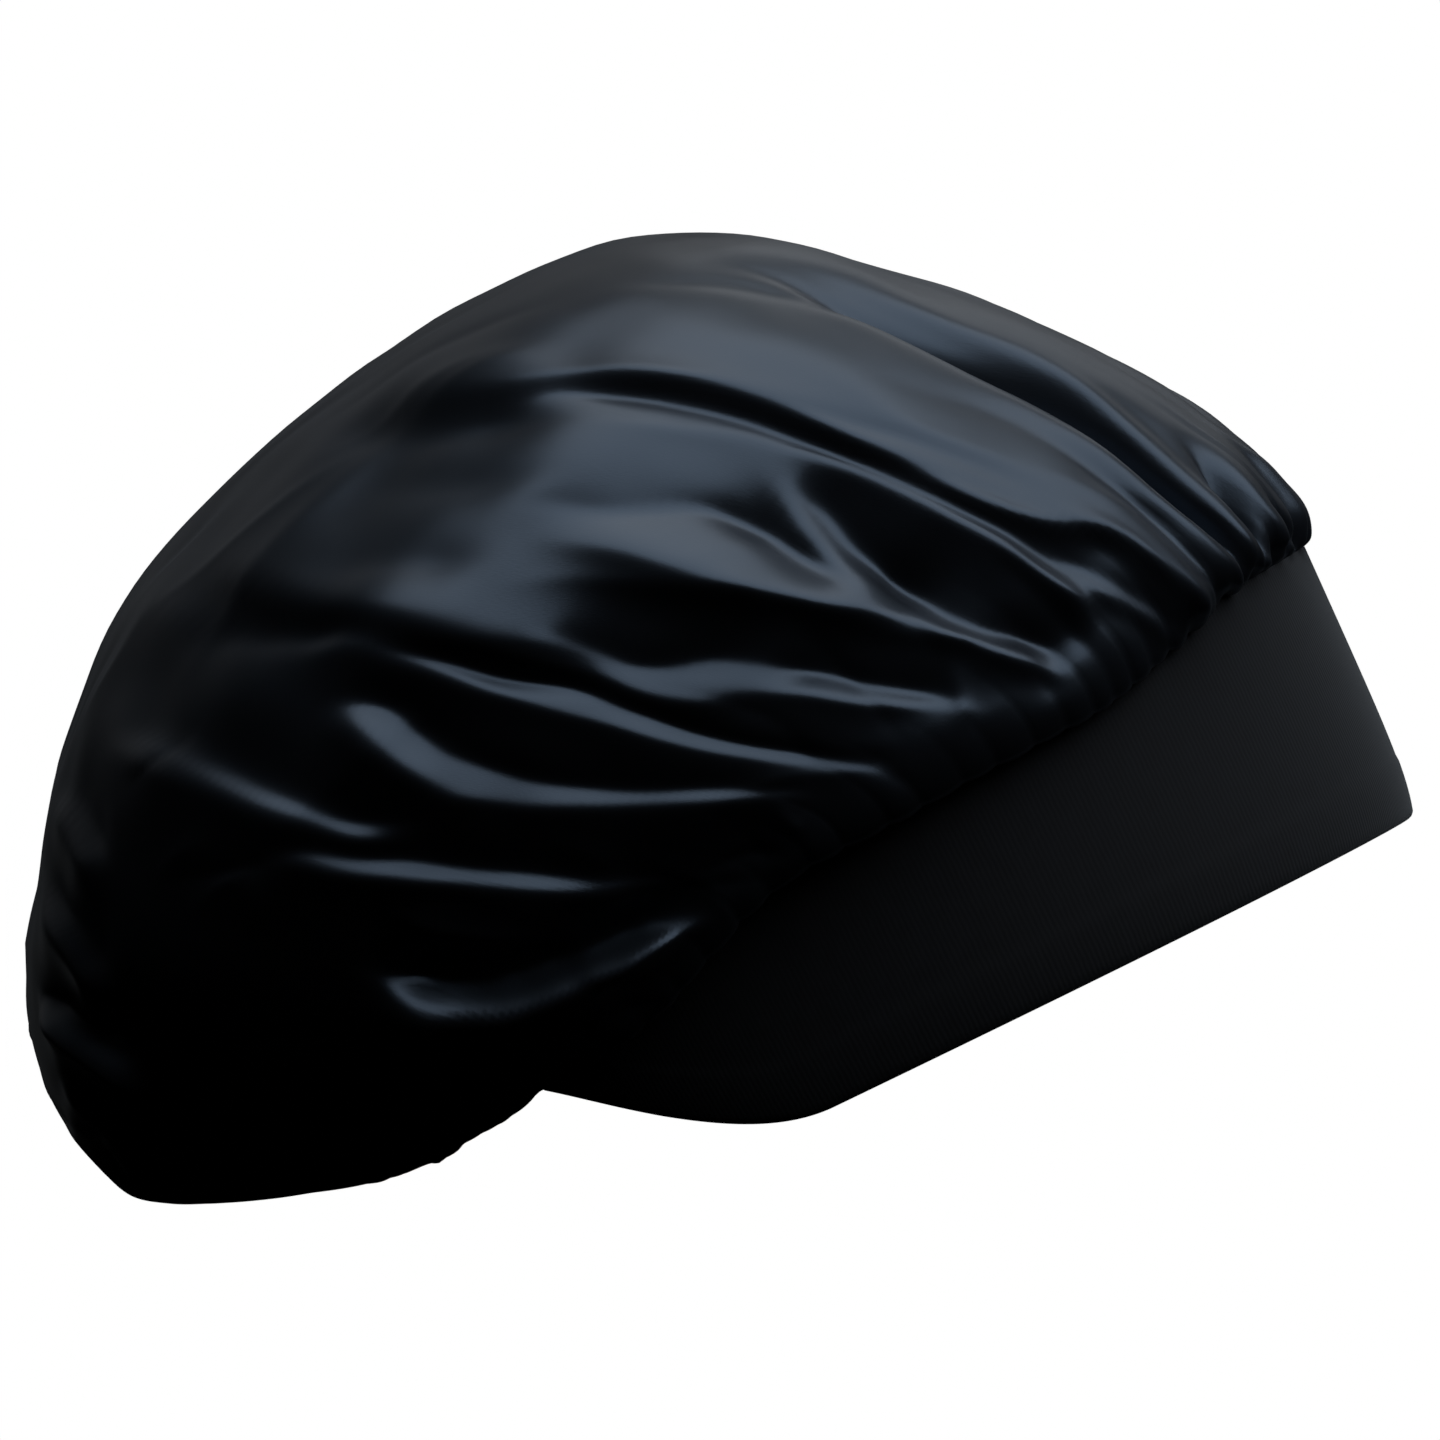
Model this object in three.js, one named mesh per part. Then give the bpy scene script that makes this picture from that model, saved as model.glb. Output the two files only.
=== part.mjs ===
// A satin hair bonnet in its worn form: a wide stretch band and a full gathered bag.
// Millimetres, +Z up. The wearer faces -Y with their left at +X, and the origin is the middle of the head opening.
import * as THREE from 'three';

const { degToRad, lerp, smoothstep } = THREE.MathUtils;

// The head opening is an oval in a plane that slopes up to the forehead.
const rim = {
  slope: degToRad(26.4),
  frontReach: 102,
  backReach: 108,
  halfWidth: 75.5,
};

// Widths stand square to the opening. The lower edge sags a little at the temples, lifts behind the ears and curls in,
// and the upper edge drops behind the ears to meet it.
const band = {
  wall: 2.5,
  frontWidth: 57,
  sideWidth: 53,
  endHeight: 30,
  dropStart: degToRad(92),
  endAngle: degToRad(138),
  sag: 1.8,
  lift: 29,
  liftStart: degToRad(105),
  liftEnd: degToRad(146),
  lean: 2.1,
  curl: 2.2,
  curlDepth: 8,
  columns: 72,
  rows: 4,
  rowCrowding: 1.6,
};

const crown = {
  wall: 1.5,
  seamGap: 0.3,
  seamReach: 0.3,
  fullness: 0.06,
  gathers: 28,
  gatherHeight: 2.2,
  hemGatherHeight: 0.8,
  gatherReach: 0.11,
  pinch: 0.07,
  lobe: 4,
  lobeAngle: degToRad(145),
  lobeSpread: degToRad(22),
  lobeShare: 0.09,
  overhang: 5,
  overhangShare: 0.04,
  overhangStart: degToRad(45),
  overhangFull: degToRad(100),
  columns: 112,
  rows: 22,
  rowCrowding: 1.25,
};

// Slices through the bag, from just past the seam to its back: where the top and bottom of each slice lie,
// forward of the origin and above it, and half its width.
const slices = [
  { topForward: 66, topUp: 107, lowForward: -113.5, lowUp: -26.5, halfWidth: 87 },
  { topForward: 51, topUp: 121.5, lowForward: -121, lowUp: -30, halfWidth: 93 },
  { topForward: 27, topUp: 137, lowForward: -131, lowUp: -32, halfWidth: 98 },
  { topForward: -9, topUp: 151, lowForward: -141, lowUp: -33.5, halfWidth: 102 },
  { topForward: -45, topUp: 159.5, lowForward: -150, lowUp: -34, halfWidth: 104 },
  { topForward: -81, topUp: 155, lowForward: -159, lowUp: -34.5, halfWidth: 102 },
  { topForward: -117, topUp: 135.5, lowForward: -167, lowUp: -32.5, halfWidth: 94 },
  { topForward: -147.5, topUp: 110, lowForward: -173.5, lowUp: -26.5, halfWidth: 80 },
  { topForward: -169, topUp: 85, lowForward: -179.5, lowUp: -19, halfWidth: 61 },
  { topForward: -181, topUp: 57, lowForward: -184.5, lowUp: -9.5, halfWidth: 40 },
  { topForward: -185, topUp: 36, lowForward: -187.5, lowUp: 3, halfWidth: 20 },
  { topForward: -188, topUp: 18, lowForward: -188, lowUp: 18, halfWidth: 0 },
];

// Folds of one side. Shares run from the seam, 0, to the back of the bag, 1. Angles are degrees down from the top
// centre line, at the start, the middle and the end. A positive height is a roll and a negative one a valley.
const folds = [
  { name: 'front valley', from: 0, to: 0.24, start: 19, middle: 24, end: 18, width: 5.5, height: -2.5 },
  { name: 'temple valley', from: 0, to: 0.38, start: 29, middle: 34, end: 24, width: 6, height: -3.5 },
  { name: 'great roll', from: 0.03, to: 0.52, start: 40, middle: 43, end: 32, width: 11, height: 4 },
  { name: 'great valley', from: 0.02, to: 0.5, start: 46, middle: 51, end: 45, width: 6.5, height: -6 },
  { name: 'second roll', from: 0.04, to: 0.52, start: 52, middle: 54, end: 48, width: 6, height: 3 },
  { name: 'pocket', from: 0.07, to: 0.34, start: 56, middle: 59, end: 55, width: 7, height: -5 },
  { name: 'pocket rim', from: 0.08, to: 0.36, start: 61, middle: 66, end: 57, width: 6, height: 4 },
  { name: 'bulge underside', from: 0.08, to: 0.42, start: 67, middle: 71, end: 77, width: 8, height: -4 },
  { name: 'ear roll', from: 0.05, to: 0.38, start: 72, middle: 79, end: 83, width: 7, height: 3.5 },
  { name: 'long valley', from: 0.15, to: 0.72, start: 79, middle: 82, end: 30, width: 7, height: -3 },
  { name: 'long roll', from: 0.06, to: 0.74, start: 84, middle: 89, end: 38, width: 8, height: 4 },
  { name: 'side roll', from: 0.12, to: 0.56, start: 91, middle: 101, end: 88, width: 8, height: 3 },
  { name: 'low roll', from: 0.12, to: 0.58, start: 104, middle: 112, end: 106, width: 8, height: 3 },
  { name: 'smile', from: 0.05, to: 0.42, start: 108, middle: 127, end: 124, width: 8, height: 3.5 },
  { name: 'rear roll', from: 0.4, to: 0.78, start: 109, middle: 97, end: 60, width: 8, height: 3 },
  { name: 'crown dent', from: 0.42, to: 0.66, start: 50, middle: 42, end: 26, width: 13, height: -3 },
  { name: 'shoulder dent', from: 0.45, to: 0.64, start: 68, middle: 62, end: 50, width: 9, height: -2.5 },
  { name: 'upper back crease', from: 0.69, to: 0.86, start: 108, middle: 80, end: 52, width: 7, height: 2 },
  { name: 'back crease', from: 0.69, to: 0.88, start: 124, middle: 104, end: 82, width: 7, height: 2 },
  { name: 'lower back valley', from: 0.56, to: 0.94, start: 140, middle: 134, end: 137, width: 8, height: -2.5 },
  { name: 'corner crease', from: 0.56, to: 0.82, start: 159, middle: 156, end: 152, width: 7, height: 2.5 },
  { name: 'bottom crease', from: 0.24, to: 0.6, start: 170, middle: 161, end: 155, width: 7, height: 1.5 },
];
// The wearer's left side is hidden in the photograph: it takes the same folds, moved by turns up and down a little.
const hiddenSideShift = 4;

const satin = new THREE.MeshStandardMaterial({ name: 'satin', color: 0x17191d, roughness: 0.35, metalness: 0 });
const jersey = new THREE.MeshStandardMaterial({ name: 'jersey', color: 0x1d1e21, roughness: 0.95, metalness: 0 });

// A point at an angle round the head opening, at a height square to its plane and a distance outside the band's face.
function rimPoint(angle, height, outside) {
  const reach = (rim.frontReach + rim.backReach) / 2;
  const normalAcross = Math.sin(angle) * reach;
  const normalAlong = Math.cos(angle) * rim.halfWidth;
  const grow = (outside + band.lean * height / band.frontWidth) / Math.hypot(normalAcross, normalAlong);
  const across = rim.halfWidth * Math.sin(angle) + grow * normalAcross;
  const along = reach * Math.cos(angle) + (rim.frontReach - rim.backReach) / 2 + grow * normalAlong;
  const forward = along * Math.cos(rim.slope) - height * Math.sin(rim.slope);
  const up = along * Math.sin(rim.slope) + height * Math.cos(rim.slope);
  return new THREE.Vector3(across, -forward, up);
}

function bandTop(angle) {
  const turn = Math.abs(angle);
  const level = lerp(band.frontWidth, band.sideWidth, smoothstep(turn, 0, Math.PI / 2));
  return level - (band.sideWidth - band.endHeight) * smoothstep(turn, band.dropStart, band.endAngle);
}

function bandBottom(angle) {
  const turn = Math.abs(angle);
  const sag = band.sag * Math.sin(Math.PI * Math.min(turn / band.liftStart, 1));
  return band.lift * smoothstep(turn, band.liftStart, band.liftEnd) - sag;
}

function seamPoint(angle) {
  return rimPoint(angle, bandTop(angle) + crown.seamGap, 0);
}

// Smooth curves through the slices' tops and bottoms, started at the seam.
const forehead = seamPoint(0);
const nape = seamPoint(Math.PI);
const seamHalfWidth = seamPoint(Math.PI / 2).x;
const topCurve = new THREE.CatmullRomCurve3(
  [
    new THREE.Vector3(-forehead.y, forehead.z, seamHalfWidth),
    ...slices.map((slice) => new THREE.Vector3(slice.topForward, slice.topUp, slice.halfWidth)),
  ],
  false,
  'catmullrom',
);
const lowCurve = new THREE.CatmullRomCurve3(
  [
    new THREE.Vector3(-nape.y, nape.z, 0),
    ...slices.map((slice) => new THREE.Vector3(slice.lowForward, slice.lowUp, 0)),
  ],
  false,
  'catmullrom',
);

// A point of the bare slice, an oval hung between its top and its bottom and fuller below its middle.
function slicePoint(angle, share) {
  const top = topCurve.getPoint(share);
  const low = lowCurve.getPoint(share);
  const height = (1 + Math.cos(angle)) / 2;
  const across = top.z * Math.sin(angle) * (1 - crown.fullness * share * Math.cos(angle));
  return new THREE.Vector3(across, -lerp(low.x, top.x, height), lerp(low.y, top.y, height));
}

// A swell that starts at the seam, is 1 at the given share and then dies away.
function swell(share, peakShare) {
  return share / peakShare * Math.exp(1 - share / peakShare);
}

// The smooth bag: the slices, bent near the seam to meet the band's edge, standing out over the band at the sides
// and hanging in a lobe behind each ear.
function bagPoint(angle, share) {
  const turn = Math.abs(angle);
  const point = slicePoint(angle, share);
  const atSeam = 1 - smoothstep(share, 0, crown.seamReach);
  point.addScaledVector(seamPoint(angle).sub(slicePoint(angle, 0)), atSeam);
  const outward = rimPoint(angle, 0, 1).sub(rimPoint(angle, 0, 0));
  const overhang = crown.overhang * smoothstep(turn, crown.overhangStart, crown.overhangFull);
  point.addScaledVector(outward, overhang * swell(share, crown.overhangShare));
  const besideLobe = (turn - crown.lobeAngle) / crown.lobeSpread;
  point.z -= crown.lobe * Math.exp(-besideLobe * besideLobe) * swell(share, crown.lobeShare);
  return point;
}

function outwardNormal(surface, angle, share) {
  const step = 1e-3;
  const round = surface(angle + step, share).sub(surface(angle - step, share));
  const back = surface(angle, share + step).sub(surface(angle, Math.max(share - step, 0)));
  return round.cross(back).normalize();
}

function foldHeight(fold, side, angle, share) {
  const along = (share - fold.from) / (fold.to - fold.from);
  if (along <= 0 || along >= 1) return 0;
  const bend = 2 * fold.middle - (fold.start + fold.end) / 2;
  const shift = side > 0 ? fold.shift : 0;
  const centre = (1 - along) ** 2 * fold.start + 2 * along * (1 - along) * bend + along ** 2 * fold.end + shift;
  const drift = degToRad(2 * (1 - along) * (bend - fold.start) + 2 * along * (fold.end - bend));
  const top = topCurve.getPoint(share);
  const low = lowCurve.getPoint(share);
  const radius = (top.z + Math.hypot(top.x - low.x, top.y - low.y) / 2) / 2;
  const slant = drift * radius / (bagDepth * (fold.to - fold.from));
  const across = (side * angle - degToRad(centre)) * radius / Math.hypot(1, slant);
  const ends = smoothstep(along, 0, 0.2) * (1 - smoothstep(along, 0.6, 1));
  return fold.height * ends / Math.cosh(across / fold.width) ** 2;
}

// The creased bag: rolls and valleys raised along the smooth bag's normal, with gathers close to the seam.
function creasedPoint(angle, share) {
  let height = 0;
  for (const fold of folds) {
    height += foldHeight(fold, -1, angle, share) + foldHeight(fold, 1, angle, share);
  }
  const fade = Math.exp(-((share / crown.gatherReach) ** 2));
  const atHem = smoothstep(Math.abs(angle), band.dropStart, band.endAngle);
  const gather = lerp(crown.gatherHeight, crown.hemGatherHeight, atHem);
  height -= gather * Math.cos(crown.gathers * angle) * fade;
  height *= 1 - Math.exp(-share / crown.pinch);
  return bagPoint(angle, share).addScaledVector(outwardNormal(bagPoint, angle, share), height);
}

const bagDepth = topCurve.getLength();
folds.forEach((fold, index) => {
  fold.shift = index % 2 ? hiddenSideShift : -hiddenSideShift;
});

function triangulate(points, faces) {
  const geometry = new THREE.BufferGeometry().setFromPoints(points);
  geometry.setIndex(faces.flat());
  geometry.computeVertexNormals();
  return geometry;
}

// Two quads' worth of corners between neighbouring rings of points.
function stitch(faces, ringA, ringB, count, closed) {
  for (let i = 0; i < count - (closed ? 0 : 1); i += 1) {
    const next = (i + 1) % count;
    faces.push([ringA + i, ringA + next, ringB + next], [ringA + i, ringB + next, ringB + i]);
  }
}

// The bag's wall: an outer and an inner skin, each closed at the back by a fan, joined along the open edge.
function crownGeometry() {
  const skins = [[], []];
  for (let row = 0; row < crown.rows; row += 1) {
    const share = (row / crown.rows) ** crown.rowCrowding;
    for (let column = 0; column < crown.columns; column += 1) {
      const angle = 2 * Math.PI * column / crown.columns;
      const turn = angle > Math.PI ? angle - 2 * Math.PI : angle;
      const outer = creasedPoint(turn, share);
      const inward = outwardNormal(creasedPoint, turn, share).multiplyScalar(-crown.wall);
      skins[0].push(outer);
      skins[1].push(outer.clone().add(inward));
    }
  }
  const back = slicePoint(0, 1);
  skins[0].push(back);
  skins[1].push(back.clone().add(new THREE.Vector3(0, -crown.wall, 0)));

  const faces = [];
  const innerStart = skins[0].length;
  const pole = crown.rows * crown.columns;
  for (let row = 0; row < crown.rows - 1; row += 1) {
    const ring = row * crown.columns;
    stitch(faces, ring, ring + crown.columns, crown.columns, true);
    stitch(faces, innerStart + ring + crown.columns, innerStart + ring, crown.columns, true);
  }
  const lastRing = pole - crown.columns;
  for (let column = 0; column < crown.columns; column += 1) {
    const next = (column + 1) % crown.columns;
    faces.push([pole, lastRing + column, lastRing + next]);
    faces.push([innerStart + pole, innerStart + lastRing + next, innerStart + lastRing + column]);
  }
  stitch(faces, innerStart, 0, crown.columns, true);
  return triangulate(skins.flat(), faces);
}

// The band: a thin section carried round the head opening from one end to the other, and capped at both.
function bandGeometry() {
  const points = [];
  for (let column = 0; column <= band.columns; column += 1) {
    const angle = lerp(-band.endAngle, band.endAngle, column / band.columns);
    const bottom = bandBottom(angle);
    const width = bandTop(angle) - bottom;
    const facePoint = (row, depth) => {
      const rise = width * (row / band.rows) ** band.rowCrowding;
      return rimPoint(angle, bottom + rise, -depth - band.curl * Math.exp(-rise / band.curlDepth));
    };
    for (let row = 0; row <= band.rows; row += 1) points.push(facePoint(row, 0));
    for (let row = band.rows; row >= 0; row -= 1) points.push(facePoint(row, band.wall));
  }
  const around = 2 * (band.rows + 1);
  const faces = [];
  for (let column = 0; column < band.columns; column += 1) {
    stitch(faces, (column + 1) * around, column * around, around, true);
  }
  const lastSection = band.columns * around;
  for (let row = 0; row < band.rows; row += 1) {
    const far = around - 1 - row;
    faces.push([row, row + 1, far - 1], [row, far - 1, far]);
    faces.push([lastSection + row, lastSection + far - 1, lastSection + row + 1]);
    faces.push([lastSection + row, lastSection + far, lastSection + far - 1]);
  }
  return triangulate(points, faces);
}

function namedMesh(name, geometry, material) {
  const mesh = new THREE.Mesh(geometry, material);
  mesh.name = name;
  return mesh;
}

const bonnet = new THREE.Group();
bonnet.add(namedMesh('front_band', bandGeometry(), jersey));
bonnet.add(namedMesh('crown', crownGeometry(), satin));

export default bonnet;
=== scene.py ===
import bpy
import numpy as np
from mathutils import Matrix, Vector


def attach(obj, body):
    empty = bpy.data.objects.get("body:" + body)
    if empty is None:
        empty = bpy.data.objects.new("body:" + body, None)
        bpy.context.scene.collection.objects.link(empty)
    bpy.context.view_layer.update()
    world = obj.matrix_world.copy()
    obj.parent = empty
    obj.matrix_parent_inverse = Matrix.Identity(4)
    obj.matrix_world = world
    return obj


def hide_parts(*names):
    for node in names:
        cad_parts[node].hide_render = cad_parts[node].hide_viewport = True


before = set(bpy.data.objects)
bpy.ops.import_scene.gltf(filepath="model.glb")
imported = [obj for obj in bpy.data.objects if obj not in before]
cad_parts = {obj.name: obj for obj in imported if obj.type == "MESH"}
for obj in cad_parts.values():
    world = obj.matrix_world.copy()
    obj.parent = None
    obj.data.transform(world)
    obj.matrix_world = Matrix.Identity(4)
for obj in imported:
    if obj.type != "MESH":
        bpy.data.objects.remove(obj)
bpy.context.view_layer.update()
print("frame loaded:", ", ".join(sorted(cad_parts)))

mm = 0.001  # shapes are worked out in millimetres and stored in metres
chance = np.random.default_rng(11)     # small creases and gathers
waveChance = np.random.default_rng(4)  # the cloth's unevenness


def smoothStep(x, low, high):
    # 0 up to the low end and 1 from the high one on, with a cubic ease between them
    t = np.clip((x - low) / (high - low), 0, 1)
    return t * t * (3 - 2 * t)


def quadStrip(upper, lower):
    # quads between two equal rings of vertex numbers, closed round
    return np.stack([upper, np.roll(upper, -1), np.roll(lower, -1), lower], axis=-1)


def storeMesh(name, points, quads, fans, uv):
    # quads and fan triangles go in as one list of loops, with the UV map per corner
    mesh = bpy.data.meshes.new(name)
    corners = np.concatenate([quads.ravel(), fans.ravel()])
    starts = np.concatenate([np.arange(len(quads)) * 4, len(quads) * 4 + np.arange(len(fans)) * 3])
    mesh.vertices.add(len(points))
    mesh.vertices.foreach_set("co", (points * mm).astype(np.float32).ravel())
    mesh.loops.add(len(corners))
    mesh.loops.foreach_set("vertex_index", corners.astype(np.int32))
    mesh.polygons.add(len(starts))
    mesh.polygons.foreach_set("loop_start", starts.astype(np.int32))
    mesh.update(calc_edges=True)
    mesh.validate()
    layer = mesh.uv_layers.new(name="cloth")
    layer.data.foreach_set("uv", (uv[corners] * mm).astype(np.float32).ravel())
    mesh.polygons.foreach_set("use_smooth", np.ones(len(mesh.polygons), dtype=bool))
    piece = bpy.data.objects.new(name, mesh)
    bpy.context.scene.collection.objects.link(piece)
    return piece


# the head opening, an oval that slopes up to the forehead
# angles go round it from the forehead, and the wearer's right side is negative
rim = {
    "slope": np.radians(26.4),
    "frontReach": 102.0,
    "backReach": 108.0,
    "halfWidth": 75.5,
}

# the stretch band, its edges measured square to the opening
band = {
    "wall": 2.4,
    "frontWidth": 57.0,
    "sideWidth": 53.0,
    "endHeight": 30.0,            # of the upper edge at each end
    "dropStart": np.radians(92),  # the upper edge falls from here to the end
    "endAngle": np.radians(138),
    "sag": 0.6,                   # of the lower edge, between the forehead and the ear
    "lift": 29.0,                 # how far the lower edge rises behind the ear
    "liftStart": np.radians(105),
    "liftEnd": np.radians(146),
    "tip": 2.0,                   # how far the lower edge turns up further at each end
    "tipStart": np.radians(123),
    "lean": 2.1,                  # outwards, over the width at the forehead
    "curl": 2.2,                  # how far the lower edge turns in
    "curlDepth": 8.0,
    "hemHeight": 11.0,            # the turned-up hem's edge shows as a faint line
    "hemStep": 0.22,
    "hemBlend": 0.7,              # the step is spread this far up and down
    "edgeBulge": 0.8,             # how far the lower edge is rounded down, as a share of half the wall
    "columns": 440,
    "faceRows": 40,
    "edgeRows": 6,
    "uvRadius": 90.0,             # turns angles into lengths along the band
    "flatSize": (0.43, 0.057),
    "flatArea": 0.0215,
}


def rimPoint(angle, height, outside):
    # an ellipse grown along its own normal, tipped by the slope of the opening
    reach = (rim["frontReach"] + rim["backReach"]) / 2
    normalAcross = np.sin(angle) * reach
    normalAlong = np.cos(angle) * rim["halfWidth"]
    grow = (outside + band["lean"] * height / band["frontWidth"]) / np.hypot(normalAcross, normalAlong)
    across = rim["halfWidth"] * np.sin(angle) + grow * normalAcross
    along = reach * np.cos(angle) + (rim["frontReach"] - rim["backReach"]) / 2 + grow * normalAlong
    forward = along * np.cos(rim["slope"]) - height * np.sin(rim["slope"])
    up = along * np.sin(rim["slope"]) + height * np.cos(rim["slope"])
    return np.stack(np.broadcast_arrays(across, -forward, up), axis=-1)


def bandTop(angle):
    # eases from the forehead's width to the side's and then down to each end
    turn = np.abs(angle)
    level = band["frontWidth"] + (band["sideWidth"] - band["frontWidth"]) * smoothStep(turn, 0, np.pi / 2)
    drop = smoothStep(turn, band["dropStart"], band["endAngle"])
    return level - (band["sideWidth"] - band["endHeight"]) * drop


def bandBottom(angle):
    # sags by half a sine in front, rises behind the ear and turns up at the very end by a square
    turn = np.abs(angle)
    sag = band["sag"] * np.sin(np.pi * np.minimum(turn / band["liftStart"], 1))
    rise = band["lift"] * smoothStep(turn, band["liftStart"], band["liftEnd"])
    tip = np.clip((turn - band["tipStart"]) / (band["endAngle"] - band["tipStart"]), 0, 1)
    return rise + band["tip"] * tip ** 2 - sag


def makeBand():
    # a closed section carried along the head: up the face, down the inside and round the lower edge
    angles = np.linspace(-band["endAngle"], band["endAngle"], band["columns"])[:, None]
    faceShare = np.linspace(0, 1, band["faceRows"])
    edgeTurn = np.linspace(0, np.pi, band["edgeRows"] + 2)[1:-1]
    half = band["wall"] / 2
    bottom = bandBottom(angles)
    width = bandTop(angles) - bottom

    def face(share, depth):
        # the hem's step and the curl of the lower edge move the face out and in
        rise = width * share
        hemTop, hemFoot = band["hemHeight"] + band["hemBlend"], band["hemHeight"] - band["hemBlend"]
        hem = band["hemStep"] * smoothStep(rise, hemTop, hemFoot)
        curl = band["curl"] * np.exp(-rise / band["curlDepth"])
        return rimPoint(angles, bottom + rise, hem - curl - depth)

    outside = face(faceShare, 0.0)
    inside = face(faceShare[::-1], band["wall"])
    edge = rimPoint(angles, bottom - band["edgeBulge"] * half * np.sin(edgeTurn),
                    -band["curl"] - half - half * np.cos(edgeTurn))
    section = np.concatenate([outside, inside, edge], axis=1)
    around = section.shape[1]
    ring = np.arange(section.shape[0] * around).reshape(-1, around)
    quads = np.concatenate([quadStrip(ring[k + 1], ring[k]) for k in range(len(ring) - 1)])
    middles = section[[0, -1]].mean(axis=1)  # each end is closed by a fan round its middle
    points = np.vstack([section.reshape(-1, 3), middles])
    firstMiddle, lastMiddle = len(points) - 2, len(points) - 1
    fans = np.concatenate([
        np.stack([ring[0], np.roll(ring[0], -1), np.full(around, firstMiddle)], axis=-1),
        np.stack([np.roll(ring[-1], -1), ring[-1], np.full(around, lastMiddle)], axis=-1),
    ])
    length = np.broadcast_to(angles * band["uvRadius"], section.shape[:2])
    steps = np.linalg.norm(np.diff(section, axis=1, prepend=section[:, :1]), axis=-1).cumsum(axis=1)
    uv = np.vstack([np.stack([length, steps], axis=-1).reshape(-1, 2), np.zeros((2, 2))])
    return storeMesh("band_jersey", points, quads, fans, uv)


# the satin bag: shares go from 0 at the seam to 1 at the back, angles go round from the top as on the opening
crown = {
    "seamGap": 0.05,
    "seamReach": 0.3,        # the slices bend to meet the band over this share
    "fullness": 0.06,        # how much wider the bag is below its middle
    "overhang": 5.0,         # how far the bag stands out over the band at the sides
    "overhangShare": 0.04,
    "overhangStart": np.radians(45),
    "overhangFull": np.radians(100),
    "sag": 9.5,              # how far the puffs hang down over the band at the sides
    "sagShare": 0.03,
    "sagStart": np.radians(26),
    "sagFull": np.radians(60),
    "sagStop": np.radians(112),
    "sagEnd": np.radians(136),
    "lobe": 4.0,             # how far the bag hangs down behind each ear
    "lobeAngle": np.radians(145),
    "lobeSpread": np.radians(22),
    "lobeShare": 0.09,
    "edgeWall": 0.8,
    "wall": 1.6,
    "wallShare": 0.05,       # where the wall is full
    "pinch": 0.035,          # folds grow out of the seam over about this share
    "seamNarrow": 0.65,      # how wide they are at the seam, as a share of their full width
    "narrowShare": 0.2,      # where they are full
    "backFade": (0.93, 1.0),
    "droop": 0.15,           # how far a roll leans down the side, as a share of its height
    "droopFade": (85, 125),  # degrees from the top between which that ends
    "leftTurn": 5.0,         # the left side's folds wander from the right side's by so many degrees
    "leftShift": 0.05,       # and by so much of their share
    "foldSoftness": 1,
    "droopSoftness": 6,
    "insideSoftness": 4,
    "columns": 680,
    "columnCrowding": 0.35,  # columns stand closer on the sides, where most folds are
    "rows": 132,
    "rowCrowding": 1.2,
    "innerStep": 8,          # the inside has every eighth row and every second column
    "uvRadius": 100.0,       # turns angles into lengths round the bag
    "flatSize": (0.46, 0.42),
    "flatArea": 0.15,
}

# slices through the bag from just past the seam to its back
sliceColumns = ("topForward", "topUp", "lowForward", "lowUp", "halfWidth")
slices = [
    (66, 107, -113.5, -26.5, 87),
    (51, 121.5, -121, -30, 93),
    (27, 137, -131, -32, 98),
    (-9, 151.3, -141, -33.5, 102),
    (-45, 159.9, -150, -34, 104),
    (-81, 155.4, -159, -34, 102),
    (-117, 135.5, -167, -32.5, 94),
    (-147.5, 110, -173.5, -26.5, 80),
    (-169, 84, -179.5, -19, 61),
    (-181, 55.5, -184.5, -9.5, 40),
    (-185, 36, -187.5, 3, 20),
    (-188, 18, -188, 18, 0),
]


def seamPoint(angle):
    # just above the band's upper edge
    return rimPoint(angle, bandTop(angle) + crown["seamGap"], 0.0)


def seamSlice():
    # the first slice, whose sizes follow from the seam
    front, nape, side = seamPoint(np.array([0.0, np.pi, np.pi / 2]))
    return -front[1], front[2], -nape[1], nape[2], side[0]


def throughRows(rows, share):
    # Catmull-Rom curve through evenly spaced rows
    count = len(rows) - 1
    place = np.clip(share, 0, 1) * count
    index = np.clip(np.floor(place).astype(int), 0, count - 1)
    t = (place - index)[..., None]
    padded = np.vstack([2 * rows[0] - rows[1], rows, 2 * rows[-1] - rows[-2]])
    a, b, c, d = (padded[index + k] for k in range(4))
    return b + t * ((c - a) / 2 + t * (a - 2.5 * b + 2 * c - d / 2 + t * (1.5 * (b - c) + (d - a) / 2)))


bagRows = np.vstack([seamSlice(), *slices])
topLine = throughRows(bagRows, np.linspace(0, 1, 400))[:, :2]
bagDepth = np.linalg.norm(np.diff(topLine, axis=0), axis=1).sum()  # over the top, from the seam to the back


def sliceAt(share):
    # the sizes of the slice at a share, under their names
    return dict(zip(sliceColumns, np.moveaxis(throughRows(bagRows, share), -1, 0)))


def slicePoint(angle, share):
    # an oval hung between the top and the bottom of a slice, fuller below its middle
    cut = sliceAt(share)
    height = (1 + np.cos(angle)) / 2
    across = cut["halfWidth"] * np.sin(angle) * (1 - crown["fullness"] * share * np.cos(angle))
    forward = cut["lowForward"] + (cut["topForward"] - cut["lowForward"]) * height
    up = cut["lowUp"] + (cut["topUp"] - cut["lowUp"]) * height
    return np.stack([across, -forward, up], axis=-1)


def swell(share, peakShare):
    # starts at nothing, is 1 at the given share and then dies away
    return share / peakShare * np.exp(1 - share / peakShare)


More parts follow.
